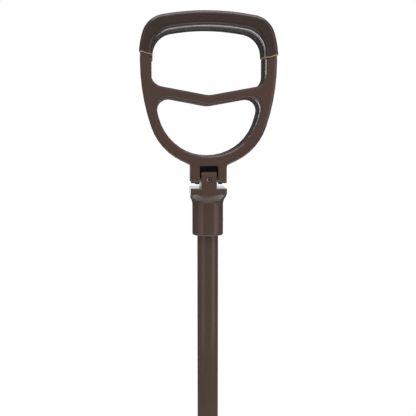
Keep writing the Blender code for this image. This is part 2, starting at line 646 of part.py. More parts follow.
def build_ferrule(axis):
    """Rubber ferrule with a wide foot, a tapered body and ribs, bored for the spike."""
    bore = SPIKE_RADIUS + SEAT_GAP
    profile = [(0, FERRULE_WALL_START), (bore, FERRULE_WALL_START), (bore, FERRULE_TOP),
               (FERRULE_NECK_RADIUS - FERRULE_EDGE / 2, FERRULE_TOP),
               (FERRULE_NECK_RADIUS, FERRULE_TOP - FERRULE_EDGE / 2)]
    for k in range(FERRULE_RIB_COUNT):
        middle = FERRULE_TOP - FERRULE_RIB_PITCH * (k + 1)
        foot = 1.5 * FERRULE_RIB_HEIGHT
        profile += [(FERRULE_NECK_RADIUS, middle + foot), (FERRULE_NECK_RADIUS + FERRULE_RIB_HEIGHT, middle),
                    (FERRULE_NECK_RADIUS, middle - foot)]
    bell = FERRULE_BASE_RADIUS - FERRULE_NECK_RADIUS
    bell_height = FERRULE_TOP - FERRULE_RIB_PITCH * (FERRULE_RIB_COUNT + 1) - FERRULE_FOOT_HEIGHT
    for k in range(EDGE_STEPS + 1):
        angle = pi / 2 * k / EDGE_STEPS
        profile.append((FERRULE_NECK_RADIUS + bell * (1 - cos(angle)),
                        FERRULE_FOOT_HEIGHT + bell_height * (1 - sin(angle))))
    profile += [(FERRULE_BASE_RADIUS, FERRULE_EDGE), (FERRULE_BASE_RADIUS - FERRULE_EDGE, 0), (0, 0)]
    make_object("ferrule", turned(profile), black_rubber(), axis)
    low = FERRULE_WALL_START + SEAT_GAP
    washer = rod_profile(SPIKE_RADIUS - SEAT_GAP / 2, low, low + FERRULE_WASHER_THICKNESS,
                         FERRULE_WASHER_THICKNESS / 4)
    make_object("ferrule_washer", turned(washer, SMALL_STEPS), bright_steel(), axis)


def main():
    for old in list(bpy.data.objects):
        bpy.data.objects.remove(old)
    for side, hand, turn in (("front", -1, 0.0), ("rear", 1, pi)):
        axis = axis_empty(side + "_fold_axis", (0, hand * PIN_DEPTH, PIN_HEIGHT), turn)
        build_seat_frame(side, axis)
        build_grip_leather(side, axis)
        build_hinge_parts(side, axis, turn)
    build_hinge_hub()
    build_tube()
    build_rivets()
    build_foot_socket()
    build_ground_plate()
    build_plate_fasteners()
    build_spike()
    build_ferrule(axis_empty("ferrule_axis", (0, 0, 0)))


main()
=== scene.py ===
"""Looks of a walking stick seat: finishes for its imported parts, its leather grips, studio and camera."""

import json
import logging
from dataclasses import dataclass
from enum import Enum
from math import atan2, ceil, cos, pi, radians, sin, sqrt, tan

import bpy
from mathutils import Matrix, Vector, noise


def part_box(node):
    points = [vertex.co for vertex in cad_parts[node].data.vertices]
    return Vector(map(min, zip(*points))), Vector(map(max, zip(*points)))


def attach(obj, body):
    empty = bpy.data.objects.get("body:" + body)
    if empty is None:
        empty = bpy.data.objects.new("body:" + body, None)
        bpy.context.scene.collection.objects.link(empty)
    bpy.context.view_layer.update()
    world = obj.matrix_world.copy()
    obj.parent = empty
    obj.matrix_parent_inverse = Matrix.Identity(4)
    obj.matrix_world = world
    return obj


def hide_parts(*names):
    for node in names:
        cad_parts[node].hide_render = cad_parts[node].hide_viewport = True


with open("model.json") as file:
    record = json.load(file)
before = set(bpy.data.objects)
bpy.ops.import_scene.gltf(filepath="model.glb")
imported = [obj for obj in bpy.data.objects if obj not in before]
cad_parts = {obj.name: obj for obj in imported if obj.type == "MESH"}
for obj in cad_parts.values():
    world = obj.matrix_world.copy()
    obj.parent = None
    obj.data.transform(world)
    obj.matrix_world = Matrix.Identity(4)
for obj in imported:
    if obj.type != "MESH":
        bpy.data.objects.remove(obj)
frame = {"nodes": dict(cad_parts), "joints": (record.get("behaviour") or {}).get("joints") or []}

MM = 0.001
FRONT_PIN = next(joint["pos_m"] for joint in frame["joints"] if joint["name"] == "front_fold")
PIN_HEIGHT = FRONT_PIN[2]  # hinge pins above the floor
PIN_DEPTH = -FRONT_PIN[1]  # hinge pins from the plane between the halves

log = logging.getLogger("walking_stick_seat")


class Side(Enum):
    """The two seat halves, by the body that each rides on."""

    FRONT = "front"
    REAR = "rear"


# Helpers

def linear(code: str) -> tuple[float, float, float, float]:
    """Turn an sRGB hex code into linear RGBA.

    Args:
        code: Six hex digits.

    Returns:
        Linear red, green, blue and an alpha of 1.
    """
    channels = [int(code[i:i + 2], 16) / 255 for i in (0, 2, 4)]
    red, green, blue = [c / 12.92 if c <= 0.04045 else ((c + 0.055) / 1.055) ** 2.4 for c in channels]
    return red, green, blue, 1.0


def add_node(tree: bpy.types.NodeTree, kind: str, settings: dict | None = None,
             links: dict | None = None) -> bpy.types.Node:
    """Add a node with its settings and incoming links.

    Args:
        tree: Node tree that takes the node.
        kind: Blender's node type name.
        settings: Values by property name, or by input name or number in a key that starts with "in:".
        links: Output sockets by input name or number.

    Returns:
        The new node.
    """
    node = tree.nodes.new(kind)
    for key, value in (settings or {}).items():
        if key.startswith("in:"):
            name = key[3:]
            node.inputs[int(name) if name.isdigit() else name].default_value = value
        else:
            setattr(node, key, value)
    for key, socket in (links or {}).items():
        tree.links.new(socket, node.inputs[key])
    return node


def new_material(name: str) -> tuple[bpy.types.Material, bpy.types.NodeTree, bpy.types.Node,
                                     bpy.types.NodeSocket]:
    """Make a material that has only an output, a Principled shader and the object's coordinates.

    Args:
        name: Name of the finish.

    Returns:
        The material, its node tree, its shader node and the socket of the coordinates.
    """
    material = bpy.data.materials.new(name)
    material.use_nodes = True
    tree = material.node_tree
    tree.nodes.clear()
    shader = add_node(tree, "ShaderNodeBsdfPrincipled")
    add_node(tree, "ShaderNodeOutputMaterial", links={"Surface": shader.outputs["BSDF"]})
    return material, tree, shader, add_node(tree, "ShaderNodeTexCoord").outputs["Object"]


def mottle(tree: bpy.types.NodeTree, place: bpy.types.NodeSocket, size: float, detail: float, dark: str,
           light: str) -> tuple[bpy.types.NodeSocket, bpy.types.NodeSocket]:
    """Blend two colours by soft clouds.

    Args:
        tree: Node tree of the finish.
        place: Coordinates.
        size: Width of a cloud.
        detail: How many finer layers of cloud are added.
        dark: Hex code of one colour.
        light: Hex code of the other.

    Returns:
        Sockets of the clouds and of the blended colour.
    """
    cloud = add_node(tree, "ShaderNodeTexNoise", {"in:Scale": 1 / size, "in:Detail": detail},
                     {"Vector": place}).outputs["Fac"]
    tone = add_node(tree, "ShaderNodeMix", {"data_type": "RGBA", "in:6": linear(dark),
                                            "in:7": linear(light)}, {0: cloud})
    return cloud, tone.outputs[2]


def finish_surface(tree: bpy.types.NodeTree, shader: bpy.types.Node, tone: bpy.types.NodeSocket,
                   relief: tuple[bpy.types.NodeSocket, float, float],
                   gloss: tuple[bpy.types.NodeSocket, float, float] | None = None) -> None:
    """Give a shader its colour, its relief and its varying gloss.

    Args:
        tree: Node tree of the finish.
        shader: Its shader.
        tone: Socket of the colour.
        relief: Socket of the height, strength of the relief and its depth.
        gloss: Socket of a share, and the roughness at a share of 0 and of 1.
    """
    height, strength, depth = relief
    bump = add_node(tree, "ShaderNodeBump", {"in:Strength": strength, "in:Distance": depth},
                    {"Height": height})
    tree.links.new(tone, shader.inputs["Base Color"])
    tree.links.new(bump.outputs["Normal"], shader.inputs["Normal"])
    if gloss is not None:
        share, low, high = gloss
        rough = add_node(tree, "ShaderNodeMapRange", {"in:To Min": low, "in:To Max": high},
                         {"Value": share})
        tree.links.new(rough.outputs["Result"], shader.inputs["Roughness"])


def deselect_all() -> None:
    """Leave edit mode and deselect every object."""
    if bpy.context.object is not None and bpy.context.object.mode != "OBJECT":
        bpy.ops.object.mode_set(mode="OBJECT")
    bpy.ops.object.select_all(action="DESELECT")


def apply_modifiers(piece: bpy.types.Object) -> None:
    """Apply all modifiers of a piece in order.

    Args:
        piece: Object whose modifiers become part of its mesh.
    """
    deselect_all()
    bpy.context.view_layer.objects.active = piece
    piece.select_set(True)
    for modifier in list(piece.modifiers):
        bpy.ops.object.modifier_apply(modifier=modifier.name)


def add_modifier(piece: bpy.types.Object, kind: str, **settings: object) -> None:
    """Add a modifier with its settings.

    Args:
        piece: Object that takes the modifier.
        kind: Blender's modifier type name.
        settings: Values by property name.
    """
    modifier = piece.modifiers.new(kind.title(), kind)
    for key, value in settings.items():
        setattr(modifier, key, value)


# Finishes

@dataclass(frozen=True)
class StoveEnamel:
    """Brown stove enamel on cast and drawn aluminium.

    To the eye: a clear satin gloss over a slightly uneven tone, with a faint orange peel.
    """

    name: str = "stove_enamel_brown"
    dark: str = "4E3C35"
    light: str = "554139"
    cloud_size: float = 28 * MM
    peel_size: float = 1.1 * MM
    peel_depth: float = 0.002 * MM
    peel_strength: float = 0.5
    roughness: tuple[float, float] = (0.40, 0.50)
    ior: float = 1.5
    specular: float = 0.15             # the clear coat carries most of the gloss
    coat_roughness: float = 0.12

    def material(self) -> bpy.types.Material:
        """Build the enamel's nodes.

        Returns:
            The material.
        """
        material, tree, shader, place = new_material(self.name)
        cloud, tone = mottle(tree, place, self.cloud_size, detail=3.0, dark=self.dark, light=self.light)
        peel = add_node(tree, "ShaderNodeTexNoise", {"in:Scale": 1 / self.peel_size, "in:Detail": 1.0},
                        {"Vector": place})
        shader.inputs["IOR"].default_value = self.ior
        shader.inputs["Specular IOR Level"].default_value = self.specular
        shader.inputs["Coat Weight"].default_value = 1.0
        shader.inputs["Coat Roughness"].default_value = self.coat_roughness
        finish_surface(tree, shader, tone, (peel.outputs["Fac"], self.peel_strength, self.peel_depth),
                       (cloud, *self.roughness))
        return material


@dataclass(frozen=True)
class GrainLeather:
    """Vegetable-tanned hide, dyed dark brown and waxed.

    To the eye: a fine pebbled grain with darker creases, patches worn paler, a soft sheen from the wax.
    """

    name: str = "leather_dark_brown"
    pore: str = "302522"
    grain: str = "423430"
    worn: str = "4B3D38"
    grain_size: float = 0.9 * MM       # coarser than real grain, so that it shows in the render
    warp_size: float = 5.4 * MM
    crease_width: float = 0.22
    patch_size: float = 22 * MM
    grain_depth: float = 0.012 * MM
    grain_strength: float = 0.45
    roughness: tuple[float, float] = (0.58, 0.42)  # in the creases and on the pebbles
    specular: float = 0.15             # the wax carries most of the gloss
    wax_roughness: float = 0.13

    def material(self) -> bpy.types.Material:
        """Build the leather's nodes.

        Returns:
            The material.
        """
        material, tree, shader, place = new_material(self.name)
        stretch = add_node(tree, "ShaderNodeTexNoise", {"in:Scale": 1 / self.warp_size, "in:Detail": 2.0},
                           {"Vector": place})
        bent = add_node(tree, "ShaderNodeVectorMath", {"operation": "MULTIPLY_ADD",
                                                       "in:1": (self.grain_size,) * 3},
                        {0: stretch.outputs["Color"], 2: place})
        pebble = add_node(tree, "ShaderNodeTexVoronoi", {"feature": "DISTANCE_TO_EDGE",
                                                         "in:Scale": 1 / self.grain_size},
                          {"Vector": bent.outputs["Vector"]})
        crease = add_node(tree, "ShaderNodeMapRange", {"in:From Max": self.crease_width},
                          {"Value": pebble.outputs["Distance"]}).outputs["Result"]
        _, hide = mottle(tree, place, self.patch_size, detail=4.0, dark=self.grain, light=self.worn)
        tone = add_node(tree, "ShaderNodeMix", {"data_type": "RGBA", "in:6": linear(self.pore)},
                        {0: crease, 7: hide})
        shader.inputs["Specular IOR Level"].default_value = self.specular
        shader.inputs["Coat Weight"].default_value = 1.0
        shader.inputs["Coat Roughness"].default_value = self.wax_roughness
        finish_surface(tree, shader, tone.outputs[2], (crease, self.grain_strength, self.grain_depth),
                       (crease, *self.roughness))
        return material


@dataclass(frozen=True)
class FibreFinish:
    """Raw fibrous surface, such as the cut edge of undyed hide or a waxed linen thread.

    To the eye: matt and streaky.
    """

    name: str
    dark: str
    light: str
    fibre_size: float = 0.25 * MM
    depth: float = 0.04 * MM
    roughness: float = 0.85
    strength: float = 0.6

    def material(self) -> bpy.types.Material:
        """Build the fibre's nodes.

        Returns:
            The material.
        """
        material, tree, shader, place = new_material(self.name)
        fibre, tone = mottle(tree, place, self.fibre_size, detail=3.0, dark=self.dark, light=self.light)
        shader.inputs["Roughness"].default_value = self.roughness
        finish_surface(tree, shader, tone, (fibre, self.strength, self.depth))
        return material


@dataclass(frozen=True)
class TurnedSteel:
    """Bright zinc-plated steel, turned in a lathe.

    To the eye: fine tool rings across the axis, cloudy cool grey plating.
    """

    name: str
    ring_axis: int
    dark: str = "8F8E8B"
    light: str = "B9B7B2"
    ring_size: float = 0.35 * MM
    ring_depth: float = 0.008 * MM
    ring_strength: float = 0.4
    squeeze: float = 0.02              # the rings' noise across the axis, against along it
    stain_size: float = 12 * MM
    roughness: tuple[float, float] = (0.24, 0.38)

    def material(self) -> bpy.types.Material:
        """Build the steel's nodes.

        Returns:
            The material.
        """
        material, tree, shader, place = new_material(self.name)
        scale = [self.squeeze] * 3
        scale[self.ring_axis] = 1.0
        flat = add_node(tree, "ShaderNodeMapping", {"in:Scale": scale}, {"Vector": place})
        rings = add_node(tree, "ShaderNodeTexNoise", {"in:Scale": 1 / self.ring_size, "in:Detail": 2.0},
                         {"Vector": flat.outputs["Vector"]})
        stain, tone = mottle(tree, place, self.stain_size, detail=4.0, dark=self.dark, light=self.light)
        shader.inputs["Metallic"].default_value = 1.0
        finish_surface(tree, shader, tone, (rings.outputs["Fac"], self.ring_strength, self.ring_depth),
                       (stain, *self.roughness))
        return material


@dataclass(frozen=True)
class MouldedPlastic:
    """Moulded nylon or rubber.

    To the eye: an even dark tone, a fine matt texture from the mould, a little pale dust.
    """

    name: str
    dark: str
    light: str
    texture_size: float
    depth: float
    roughness: tuple[float, float]
    strength: float = 0.4
    dust_size: float = 9 * MM
    dust_range: tuple[float, float] = (0.4, 0.75)

    def material(self) -> bpy.types.Material:
        """Build the moulding's nodes.

        Returns:
            The material.
        """
        material, tree, shader, place = new_material(self.name)
        dust = add_node(tree, "ShaderNodeTexNoise", {"in:Scale": 1 / self.dust_size, "in:Detail": 6.0},
                        {"Vector": place})
        clean, dusty = self.dust_range
        shade = add_node(tree, "ShaderNodeMapRange", {"in:From Min": clean, "in:From Max": dusty},
                         {"Value": dust.outputs["Fac"]}).outputs["Result"]
        tone = add_node(tree, "ShaderNodeMix", {"data_type": "RGBA", "in:6": linear(self.dark),
                                                "in:7": linear(self.light)}, {0: shade})
        matt = add_node(tree, "ShaderNodeTexNoise", {"in:Scale": 1 / self.texture_size}, {"Vector": place})
        finish_surface(tree, shader, tone.outputs[2], (matt.outputs["Fac"], self.strength, self.depth),
                       (shade, *self.roughness))
        return material


@dataclass(frozen=True)
class PaintedHighlightEnamel:
    """Enamel over a steel grub screw, in a tone painted paler than the lug's as painted light that lifts the
    shade in the screw's recess.

    To the eye: a dimple in the lug's tone, with a painted highlight on one side: a light steel-grey crescent
    that stands in for the glint on the dimple's rim.
    """

    name: str
    centre: Vector
    toward: float                      # way along X from the side with the painted highlight to the other side
    # painted light: tones paler than the lug's enamel, lifting the shade in the screw's recess
    lightened_dark: str = "6B554D"
    lightened_light: str = "75605A"
    # painted highlight: the light steel grey of the crescent on one side
    highlight_grey: str = "B4B3B0"
    offset: float = 1.3 * MM           # middle of the part without the painted highlight, from the screw's middle
    radius: float = 2.7 * MM           # the painted highlight starts beyond this
    edge: float = 0.35 * MM            # width of the painted highlight's soft edge
    cloud_size: float = 1.5 * MM
    grit_depth: float = 0.01 * MM
    grit_strength: float = 0.4
    roughness: tuple[float, float] = (0.45, 0.30)

    def material(self) -> bpy.types.Material:
        """Build the nodes of the paler enamel and its painted highlight.

        Returns:
            The material.
        """
        material, tree, shader, place = new_material(self.name)
        # painted light: the paler enamel tone, against the shade in the recess
        cloud, paint = mottle(tree, place, self.cloud_size, detail=3.0, dark=self.lightened_dark,
                              light=self.lightened_light)
        flat = add_node(tree, "ShaderNodeVectorMath", {"operation": "MULTIPLY", "in:1": (1.0, 0.0, 1.0)},
                        {0: place})
        middle = (self.centre.x + self.toward * self.offset, 0.0, self.centre.z)
        away = add_node(tree, "ShaderNodeVectorMath", {"operation": "DISTANCE", "in:1": middle},
                        {0: flat.outputs["Vector"]})
        # painted highlight: mask of the crescent outside the radius, on the side away from the shifted middle
        highlight_mask = add_node(tree, "ShaderNodeMapRange", {"in:From Min": self.radius,
                                                     "in:From Max": self.radius + self.edge},
                        {"Value": away.outputs["Value"]}).outputs["Result"]
        tone = add_node(tree, "ShaderNodeMix", {"data_type": "RGBA", "in:7": linear(self.highlight_grey)},
                        {0: highlight_mask, 6: paint})
        finish_surface(tree, shader, tone.outputs[2], (cloud, self.grit_strength, self.grit_depth),
                       (highlight_mask, *self.roughness))
        return material


class Finishes:
    """Every finish on the stick, each made once."""

    def __init__(self) -> None:
        """Build the materials."""
        self.enamel = StoveEnamel().material()
        self.leather = GrainLeather().material()
        self.raw_edge = FibreFinish("leather_raw_edge", "A98560", "E0C49C").material()
        self.thread = FibreFinish("waxed_thread", "2E2420", "4A3C34", fibre_size=0.18 * MM,
                                  depth=0.05 * MM, roughness=0.6).material()
        self.steel_across = TurnedSteel("turned_steel_across", ring_axis=0).material()
        self.steel_upright = TurnedSteel("turned_steel_upright", ring_axis=2).material()
        self.nylon = MouldedPlastic("moulded_nylon", "1A1312", "2A211F", texture_size=0.5 * MM,
                                    depth=0.01 * MM, roughness=(0.42, 0.55)).material()
        self.rubber = MouldedPlastic("moulded_rubber", "151413", "35322F", texture_size=0.35 * MM,
                                     depth=0.02 * MM, roughness=(0.70, 0.85)).material()

    @staticmethod
    def dress(finish: bpy.types.Material, *nodes: str) -> None:
        """Give carried CAD nodes a finish.

        Args:
            finish: The material.
            nodes: Names of the nodes.
        """
        for name in nodes:
            for slot in frame["nodes"][name].material_slots:
                slot.material = finish
            log.info("%s wears %s", name, finish.name)


# The seat half's outlines in its own upright plane, heights above the hinge pin

Point = tuple[Vector, Vector]


def meet(point_a: tuple[float, float], way_a: tuple[float, float], point_b: tuple[float, float],
         way_b: tuple[float, float]) -> tuple[float, float]:
    """Find where two lines in a plane cross.

    Args:
        point_a: A point of the first line.
        way_a: The first line's direction.
        point_b: A point of the second line.
        way_b: The second line's direction.

    Returns:
        The crossing point.
    """
    cross = way_a[0] * way_b[1] - way_a[1] * way_b[0]
    across, up = point_b[0] - point_a[0], point_b[1] - point_a[1]
    along = (across * way_b[1] - up * way_b[0]) / cross
    return point_a[0] + way_a[0] * along, point_a[1] + way_a[1] * along


@dataclass(frozen=True)
class HalfShape:
    """Sizes of the cast half that the leather is wrapped round."""

    half_width: float = 70.2 * MM
    reach: float = 170.9 * MM
    side_top_drop: float = 34.3 * MM
    side_foot: float = 87.5 * MM
    side_foot_round: float = 4.28      # radius of the round there, in lengths of the upright side
    top_fall: float = radians(9.3)
    shoulder_lean: float = radians(17.0)
    flank_lean: float = radians(18.2)
    top_radius: float = 255 * MM
    shoulder_radius: float = 24.0 * MM
    side_bar: float = 11.0 * MM
    top_bar: float = 12.2 * MM
    hand_top_radius: float = 215 * MM
    hand_top_fall: float = radians(10.3)
    round_spacing: float = 0.8 * MM    # straight run left between neighbouring rounds
    depth: float = 21.5 * MM
    pin_setback: float = 8.5 * MM
    face_round: float = 3.0 * MM
    mating_round: float = 2.0 * MM
    draft: float = radians(4.0)

    def wall_lean(self) -> float:
        """How far the drafted walls lean in from the front round to the mating round."""
        return (self.depth - self.face_round - self.mating_round) * tan(self.draft)

    def outer_corners(self) -> list[tuple[float, float, float]]:
        """Find the corners of the bow's outside.

        Returns:
            Corners (across, up, radius) from the left foot over the top to the right foot.
        """
        top = (0.0, self.reach + self.top_radius * (1 / cos(self.top_fall) - 1))
        side = (self.half_width, self.reach - self.side_top_drop)
        shoulder = meet(top, (cos(self.top_fall), -sin(self.top_fall)), side,
                        (-sin(self.shoulder_lean), cos(self.shoulder_lean)))
        upright = side[1] - self.side_foot
        shoulder_turn = pi / 2 - self.top_fall - self.shoulder_lean
        above = (Vector(shoulder) - Vector(side)).length - self.shoulder_radius * tan(shoulder_turn / 2)
        below = upright - self.side_foot_round * upright * tan(self.flank_lean / 2)
        side_radius = (min(above, below) - self.round_spacing) / tan(self.shoulder_lean / 2)
        right = [(*shoulder, self.shoulder_radius), (*side, side_radius),
                 (self.half_width, self.side_foot, 0.0)]
        return [(-x, z, r) for x, z, r in right[::-1]] + [(*top, self.top_radius)] + right

    def inner_corners(self) -> list[tuple[float, float, float]]:
        """Find the corners of the hand opening's top.

        Returns:
            Corners (across, up, radius) from the left foot over the top to the right foot.
        """
        wall = self.half_width - self.side_bar
        top = (0.0, self.reach - self.top_bar + self.hand_top_radius * (1 / cos(self.hand_top_fall) - 1))
        corner = meet(top, (cos(self.hand_top_fall), -sin(self.hand_top_fall)), (wall, 0.0), (0.0, 1.0))
        room = (Vector(corner) - Vector(top)).length - self.hand_top_radius * tan(self.hand_top_fall)
        corner_radius = (room - self.round_spacing) / tan((pi / 2 - self.hand_top_fall) / 2)
        right = [(*corner, corner_radius), (wall, self.side_foot, 0.0)]
        return [(-x, z, r) for x, z, r in right[::-1]] + [(*top, self.hand_top_radius)] + right


def rounded_path(corners: list[tuple[float, float, float]], step: float) -> list[Point]:
    """Follow an open clockwise path with rounded corners.

    Args:
        corners: Corner points (across, up, radius), ends included.
        step: Largest spacing of the points.

    Returns:
        Points with the normals on their left-hand side, which is outwards.
    """
    path: list[Point] = []

    def run_to(end: Vector, normal: Vector) -> None:
        """Add a straight run up to a point.

        Args:
            end: The point.
            normal: The run's normal on its left-hand side.
        """
        start = path[-1][0] if path else end
        count = max(1, ceil((end - start).length / step))
        for k in range(1 if path else count, count + 1):
            path.append((start.lerp(end, k / count), normal))

    for i in range(len(corners)):
        here = Vector(corners[i][:2])
        if i == 0:
            way = (Vector(corners[1][:2]) - here).normalized()
            run_to(here, Vector((-way.y, way.x)))
            continue
        arriving = (here - Vector(corners[i - 1][:2])).normalized()
        normal = Vector((-arriving.y, arriving.x))
        if i == len(corners) - 1:
            run_to(here, normal)
            continue
        leaving = (Vector(corners[i + 1][:2]) - here).normalized()
        turn = atan2(arriving.cross(leaving), arriving.dot(leaving))
        radius = corners[i][2]
        run_to(here - arriving * radius * tan(abs(turn) / 2), normal)
        hand = 1 if turn > 0 else -1
        centre = path[-1][0] + normal * hand * radius
        count = max(2, ceil(abs(turn) * radius / step))
        for k in range(1, count + 1):
            turned = Matrix.Rotation(turn * k / count, 2) @ normal
            path.append((centre - turned * hand * radius, turned))
    return path


def trimmed(path: list[Point], left_end: float, right_end: float, middle: float, slope: float) -> list[Point]:
    """Keep the part of a path that is above the sleeve's two slanted ends.

    Args:
        path: Points with normals.
        left_end: Height of the left end line at the middle of the bar.
        right_end: Height of the right end line at the middle of the bar.
        middle: Distance of the bar's middle from the axis.
        slope: Rise of the end lines away from the axis.

    Returns:
        The trimmed path, its ends exactly on the lines.
    """
    def height(point: Vector) -> float:
        """How far a point is above its end line."""
        end = left_end if point.x < 0 else right_end
        return point.y - end - (abs(point.x) - middle) * tan(slope)

    kept: list[Point] = []
    for (a, normal_a), (b, normal_b) in zip(path, path[1:]):
        above_a, above_b = height(a), height(b)
        if above_a * above_b < 0:
            share = above_a / (above_a - above_b)
            kept.append((a.lerp(b, share), normal_a.lerp(normal_b, share).normalized()))
        if above_b >= 0:
            kept.append((b, normal_b))
    return kept


def evenly(path: list[Point], count: int) -> list[Point]:
    """Resample a path at equal shares of its length.

    Args:
        path: Points with normals.
        count: Number of points wanted.

    Returns:
        The evenly spaced points with their normals.
    """
    lengths = [0.0]
    for (a, _), (b, _) in zip(path, path[1:]):
        lengths.append(lengths[-1] + (b - a).length)
    result: list[Point] = []
    i = 0
    for k in range(count):
        wanted = lengths[-1] * k / (count - 1)
        while i < len(path) - 2 and lengths[i + 1] < wanted:
            i += 1
        share = min(1.0, (wanted - lengths[i]) / (lengths[i + 1] - lengths[i]))
        (a, normal_a), (b, normal_b) = path[i], path[i + 1]
        result.append((a.lerp(b, share), normal_a.lerp(normal_b, share).normalized()))
    return result


@dataclass
class GripSleeve:
    """Leather wrapped round the upper bow of one half, its edges sewn together on the inner wall."""

    side: Side
    finishes: Finishes
    shape: HalfShape = HalfShape()
    surface: float = 1.2 * MM          # outer surface above the casting
    thickness: float = 0.9 * MM
    left_drop: float = 41.9 * MM       # ends below the top of the bow
    right_drop: float = 44.7 * MM
    end_slope: float = radians(10.0)
    end_bow: float = 0.4 * MM
    skive: float = 0.8                 # raw slope at the ends, as a share of a station's length
    stations: int = 190
    path_step: float = 0.4 * MM
    round_steps: int = 5               # grid columns over each round, wall and face of the section
    wall_steps: int = 8
    face_steps: int = 6
    seam_steps: int = 4
    bow_rows: int = 8
    bow_on_faces: float = 0.35         # share of the ends' bow that the flat faces take
    smooth_angle: float = radians(50.0)
    seam_depth: float = 5.2 * MM       # the seam lies this far behind the hinge pin
    seam_gap: float = 0.25 * MM
    seam_sink: float = 0.35 * MM
    seam_reach: float = 1.6 * MM
    unevenness: float = 0.10 * MM
    uneven_size: float = 14 * MM
    uneven_seeds: tuple[float, float] = (3.0, 9.0)  # front and rear half
    pucker: float = 0.11 * MM
    pucker_pitch: float = 3.4 * MM
    stitch_pitch: float = 4.0 * MM
    stitch_length: float = 2.9 * MM
    stitch_width: float = 0.75 * MM
    stitch_slant: float = 0.55         # sine of the stitches' slant towards the seam's run
    stitch_bend: float = 0.6           # the ends dip by this share of the width
    stitch_rise: float = 0.1           # the middle stands up by this share of the width
    stitch_facets: int = 8

    def section(self) -> list[tuple[str, float, float]]:
        """Points of the sleeve's section, round the bar from the seam over the front and back to it.

        Returns:
            Tuples of the wall that the point belongs to ("inner", "outer", "front" or "back"), its depth
            behind the pin, and its inset from that wall, or on the front and back faces its share of the
            way from the inner wall to the outer one.
        """
        shape, grow = self.shape, self.surface
        front = -shape.pin_setback - grow
        back = front + shape.depth + 2 * grow
        face_round, mating_round = shape.face_round + grow, shape.mating_round + grow
        lean = shape.wall_lean()
        seam_front = self.seam_depth - self.seam_gap / 2
        seam_back = self.seam_depth + self.seam_gap / 2
        wall_front, wall_back = front + face_round, back - mating_round

        def wall(depth: float) -> float:
            """Inset of the leaning wall at a depth."""
            return -grow + lean * (depth - wall_front) / (wall_back - wall_front)

        angles = [pi / 2 * k / self.round_steps for k in range(self.round_steps + 1)]
        front_round = [(front + face_round * (1 - cos(turn)), -grow + face_round * (1 - sin(turn)))
                       for turn in angles]
        back_round = [(back - mating_round * (1 - sin(turn)), -grow + lean + mating_round * (1 - cos(turn)))
                      for turn in angles]
        steps = self.wall_steps
        inner_to_front = [seam_front + (wall_front - seam_front) * k / steps for k in range(steps)]
        outer_depths = [wall_front + (wall_back - wall_front) * k / steps for k in range(1, steps)]
        back_to_seam = [wall_back + (seam_back - wall_back) * k / self.seam_steps
                        for k in range(1, self.seam_steps + 1)]
        face_shares = [k / self.face_steps for k in range(1, self.face_steps)]
        points = [("inner", depth, wall(depth)) for depth in inner_to_front]
        points += [("inner", depth, inset) for depth, inset in front_round[::-1]]
        points += [("front", front, share) for share in face_shares]
        points += [("outer", depth, inset) for depth, inset in front_round]
        points += [("outer", depth, wall(depth)) for depth in outer_depths]
        points += [("outer", depth, inset) for depth, inset in back_round]
        points += [("back", back, 1 - share) for share in face_shares]
        points += [("inner", depth, inset) for depth, inset in back_round[::-1]]
        points += [("inner", depth, wall(depth)) for depth in back_to_seam]
        return points

    def to_world(self, across: float, depth: float, up: float) -> Vector:
        """Place a point of the half.

        Args:
            across: Distance from the half's middle, to the right as seen from its outside.
            depth: Depth behind the hinge pin, towards the other half.
            up: Height above the hinge pin.

        Returns:
            The point in the frame of the whole object.
        """
        hand = 1 if self.side is Side.FRONT else -1
        return Vector((hand * across, -hand * PIN_DEPTH + hand * depth, PIN_HEIGHT + up))

    def walls(self) -> tuple[list[Point], list[Point]]:
        """Follow the bow's two walls between the sleeve's ends.

        Returns:
            Outer and inner wall points with their normals, one of each at every station.
        """
        middle = self.shape.half_width - self.shape.side_bar / 2
        reach = self.shape.reach
        ends = (reach - self.left_drop, reach - self.right_drop, middle, self.end_slope)
        outer = trimmed(rounded_path(self.shape.outer_corners(), self.path_step), *ends)
        inner = trimmed(rounded_path(self.shape.inner_corners(), self.path_step), *ends)
        inner = [(point, -normal) for point, normal in inner]
        return evenly(outer, self.stations), evenly(inner, self.stations)

    def build(self) -> bpy.types.Object:
        """Wrap a flat grid of leather round the bow and give it its thickness.

        Returns:
            The sleeve.
        """
        section = self.section()
        outer, inner = self.walls()
        around, along = len(section), self.stations
        deselect_all()
        bpy.ops.mesh.primitive_grid_add(x_subdivisions=around - 1, y_subdivisions=along - 1, size=1.0)
        sleeve = bpy.context.object
        sleeve.name = sleeve.data.name = "grip_sleeve_" + self.side.value
        rims = {"front": self.shape.face_round, "back": self.shape.wall_lean() + self.shape.mating_round}
        run = [0.0]
        for (a, _), (b, _) in zip(inner, inner[1:]):
            run.append(run[-1] + (b - a).length)
        for row in range(along):
            (out_point, out_normal), (in_point, in_normal) = outer[row], inner[row]
            for column, (wall, depth, inset) in enumerate(section):
                if wall in rims:
                    rim = rims[wall]
                    start, end = in_point - in_normal * rim, out_point - out_normal * rim
                    flat = start.lerp(end, inset)
                    outward = Vector((0.0, -1.0 if wall == "front" else 1.0, 0.0))
                else:
                    point, normal = (out_point, out_normal) if wall == "outer" else (in_point, in_normal)
                    flat = point - normal * inset
                    outward = Vector((normal.x, 0.0, normal.y))
                place = Vector((flat.x, depth, flat.y))
                place += outward * self.relief(place, wall, depth, run[row], in_normal)
                place.z += self.bow(row, wall, depth)
                sleeve.data.vertices[row * around + column].co = self.to_world(place.x, place.y, place.z)
        self.finish_skin(sleeve)
        return sleeve

